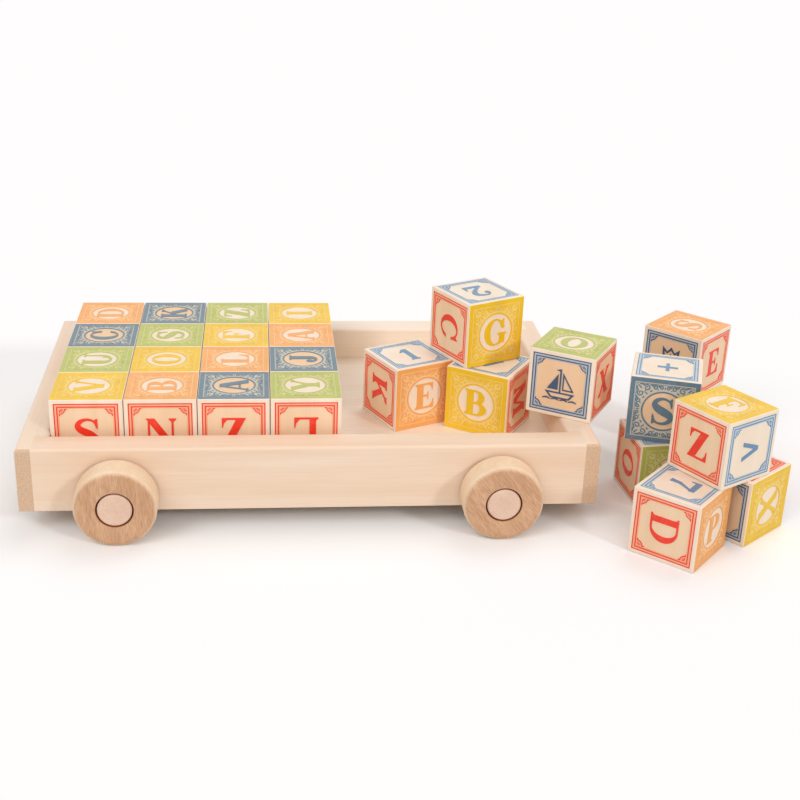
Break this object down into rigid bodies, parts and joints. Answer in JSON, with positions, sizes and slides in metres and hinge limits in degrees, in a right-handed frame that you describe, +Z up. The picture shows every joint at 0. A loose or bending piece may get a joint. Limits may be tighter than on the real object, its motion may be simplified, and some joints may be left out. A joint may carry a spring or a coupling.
{
  "type": "alphabet block wagon",
  "caption": "Wooden wheeled tray with printed alphabet blocks, some packed inside it and some stacked loose in it and beside it.",
  "frame": {"origin": "on the ground, in the middle of the box that the whole set covers", "axes": "+X along the tray towards the loose blocks, +Y from its front board to its back board, +Z up"},
  "size_m": [0.4792, 0.311, 0.1214],
  "materials": {
    "board_wood": "bare, sanded",
    "end_board_wood": "bare, sanded",
    "panel_wood": "bare, sanded",
    "wheel_wood": "bare, sanded",
    "peg_wood": "bare, sanded",
    "orange_printed_wood": "printed, matte",
    "blue_printed_wood": "printed, matte",
    "green_printed_wood": "printed, matte",
    "yellow_printed_wood": "printed, matte"
  },
  "bodies": {
    "wagon": {"front_board": "board_wood", "back_board": "board_wood", "left_end_board": "end_board_wood", "right_end_board": "end_board_wood", "tray_floor": "panel_wood", "axle_peg_front_left": "peg_wood", "axle_peg_front_right": "peg_wood", "axle_peg_back_left": "peg_wood", "axle_peg_back_right": "peg_wood"},
    "wheel_front_left": {"wheel_front_left": "wheel_wood"},
    "wheel_front_right": {"wheel_front_right": "wheel_wood"},
    "wheel_back_left": {"wheel_back_left": "wheel_wood"},
    "wheel_back_right": {"wheel_back_right": "wheel_wood"},
    "packed_block_row4_col1": {"packed_block_row4_col1": "orange_printed_wood"},
    "packed_block_row4_col2": {"packed_block_row4_col2": "blue_printed_wood"},
    "packed_block_row4_col3": {"packed_block_row4_col3": "green_printed_wood"},
    "packed_block_row4_col4": {"packed_block_row4_col4": "yellow_printed_wood"},
    "packed_block_row3_col1": {"packed_block_row3_col1": "blue_printed_wood"},
    "packed_block_row3_col2": {"packed_block_row3_col2": "green_printed_wood"},
    "packed_block_row3_col3": {"packed_block_row3_col3": "yellow_printed_wood"},
    "packed_block_row3_col4": {"packed_block_row3_col4": "orange_printed_wood"},
    "packed_block_row2_col1": {"packed_block_row2_col1": "green_printed_wood"},
    "packed_block_row2_col2": {"packed_block_row2_col2": "yellow_printed_wood"},
    "packed_block_row2_col3": {"packed_block_row2_col3": "orange_printed_wood"},
    "packed_block_row2_col4": {"packed_block_row2_col4": "blue_printed_wood"},
    "packed_block_row1_col1": {"packed_block_row1_col1": "yellow_printed_wood"},
    "packed_block_row1_col2": {"packed_block_row1_col2": "orange_printed_wood"},
    "packed_block_row1_col3": {"packed_block_row1_col3": "blue_printed_wood"},
    "packed_block_row1_col4": {"packed_block_row1_col4": "green_printed_wood"},
    "loose_block_right": {"loose_block_right": "yellow_printed_wood"},
    "loose_block_left": {"loose_block_left": "orange_printed_wood"},
    "loose_block_top": {"loose_block_top": "yellow_printed_wood"},
    "edge_block": {"edge_block": "green_printed_wood"},
    "pile_back_low": {"pile_back_low": "blue_printed_wood"},
    "pile_back_high": {"pile_back_high": "orange_printed_wood"},
    "pile_middle_low": {"pile_middle_low": "green_printed_wood"},
    "pile_middle_high": {"pile_middle_high": "blue_printed_wood"},
    "pile_front_low_left": {"pile_front_low_left": "orange_printed_wood"},
    "pile_front_low_right": {"pile_front_low_right": "yellow_printed_wood"},
    "pile_front_high": {"pile_front_high": "yellow_printed_wood"}
  },
  "joints": [
    {"name": "front_left_wheel_spin", "type": "hinge", "parent": "wagon", "child": "wheel_front_left", "pos_m": [-0.18007, -0.1022, 0.025], "axis": [0, 1, 0], "continuous": true},
    {"name": "front_right_wheel_spin", "type": "hinge", "parent": "wagon", "child": "wheel_front_right", "pos_m": [0.05493, -0.1022, 0.025], "axis": [0, 1, 0], "continuous": true},
    {"name": "back_left_wheel_spin", "type": "hinge", "parent": "wagon", "child": "wheel_back_left", "pos_m": [-0.18007, 0.1455, 0.025], "axis": [0, 1, 0], "continuous": true},
    {"name": "back_right_wheel_spin", "type": "hinge", "parent": "wagon", "child": "wheel_back_right", "pos_m": [0.05493, 0.1455, 0.025], "axis": [0, 1, 0], "continuous": true},
    {"name": "loose_block_right_lift", "type": "slide", "parent": "wagon", "child": "loose_block_right", "axis": [0, 0, 1], "range_m": [0, 0.06]},
    {"name": "loose_block_left_lift", "type": "slide", "parent": "loose_block_right", "child": "loose_block_left", "axis": [0, 0, 1], "range_m": [0, 0.06]},
    {"name": "loose_block_top_lift", "type": "slide", "parent": "loose_block_left", "child": "loose_block_top", "axis": [0, 0, 1], "range_m": [0, 0.06]},
    {"name": "edge_block_lift", "type": "slide", "parent": "wagon", "child": "edge_block", "axis": [0, 0, 1], "range_m": [0, 0.06]},
    {"name": "pile_back_low_lift", "type": "slide", "parent": "wagon", "child": "pile_back_low", "axis": [0, 0, 1], "range_m": [0, 0.06]},
    {"name": "pile_back_high_lift", "type": "slide", "parent": "pile_back_low", "child": "pile_back_high", "axis": [0, 0, 1], "range_m": [0, 0.06]},
    {"name": "pile_middle_low_lift", "type": "slide", "parent": "wagon", "child": "pile_middle_low", "axis": [0, 0, 1], "range_m": [0, 0.06]},
    {"name": "pile_middle_high_lift", "type": "slide", "parent": "pile_middle_low", "child": "pile_middle_high", "axis": [0, 0, 1], "range_m": [0, 0.06]},
    {"name": "pile_front_low_left_lift", "type": "slide", "parent": "wagon", "child": "pile_front_low_left", "axis": [0, 0, 1], "range_m": [0, 0.06]},
    {"name": "pile_front_low_right_lift", "type": "slide", "parent": "pile_front_low_left", "child": "pile_front_low_right", "axis": [0, 0, 1], "range_m": [0, 0.06]},
    {"name": "pile_front_high_lift", "type": "slide", "parent": "pile_front_low_right", "child": "pile_front_high", "axis": [0, 0, 1], "range_m": [0, 0.06]},
    {"name": "packed_block_row4_col1_lift", "type": "slide", "parent": "wagon", "child": "packed_block_row4_col1", "axis": [0, 0, 1], "range_m": [0, 0.06]},
    {"name": "packed_block_row4_col2_lift", "type": "slide", "parent": "wagon", "child": "packed_block_row4_col2", "axis": [0, 0, 1], "range_m": [0, 0.06]},
    {"name": "packed_block_row4_col3_lift", "type": "slide", "parent": "wagon", "child": "packed_block_row4_col3", "axis": [0, 0, 1], "range_m": [0, 0.06]},
    {"name": "packed_block_row4_col4_lift", "type": "slide", "parent": "wagon", "child": "packed_block_row4_col4", "axis": [0, 0, 1], "range_m": [0, 0.06]},
    {"name": "packed_block_row3_col1_lift", "type": "slide", "parent": "wagon", "child": "packed_block_row3_col1", "axis": [0, 0, 1], "range_m": [0, 0.06]},
    {"name": "packed_block_row3_col2_lift", "type": "slide", "parent": "wagon", "child": "packed_block_row3_col2", "axis": [0, 0, 1], "range_m": [0, 0.06]},
    {"name": "packed_block_row3_col3_lift", "type": "slide", "parent": "wagon", "child": "packed_block_row3_col3", "axis": [0, 0, 1], "range_m": [0, 0.06]},
    {"name": "packed_block_row3_col4_lift", "type": "slide", "parent": "wagon", "child": "packed_block_row3_col4", "axis": [0, 0, 1], "range_m": [0, 0.06]},
    {"name": "packed_block_row2_col1_lift", "type": "slide", "parent": "wagon", "child": "packed_block_row2_col1", "axis": [0, 0, 1], "range_m": [0, 0.06]},
    {"name": "packed_block_row2_col2_lift", "type": "slide", "parent": "wagon", "child": "packed_block_row2_col2", "axis": [0, 0, 1], "range_m": [0, 0.06]},
    {"name": "packed_block_row2_col3_lift", "type": "slide", "parent": "wagon", "child": "packed_block_row2_col3", "axis": [0, 0, 1], "range_m": [0, 0.06]},
    {"name": "packed_block_row2_col4_lift", "type": "slide", "parent": "wagon", "child": "packed_block_row2_col4", "axis": [0, 0, 1], "range_m": [0, 0.06]},
    {"name": "packed_block_row1_col1_lift", "type": "slide", "parent": "wagon", "child": "packed_block_row1_col1", "axis": [0, 0, 1], "range_m": [0, 0.06]},
    {"name": "packed_block_row1_col2_lift", "type": "slide", "parent": "wagon", "child": "packed_block_row1_col2", "axis": [0, 0, 1], "range_m": [0, 0.06]},
    {"name": "packed_block_row1_col3_lift", "type": "slide", "parent": "wagon", "child": "packed_block_row1_col3", "axis": [0, 0, 1], "range_m": [0, 0.06]},
    {"name": "packed_block_row1_col4_lift", "type": "slide", "parent": "wagon", "child": "packed_block_row1_col4", "axis": [0, 0, 1], "range_m": [0, 0.06]}
  ]
}
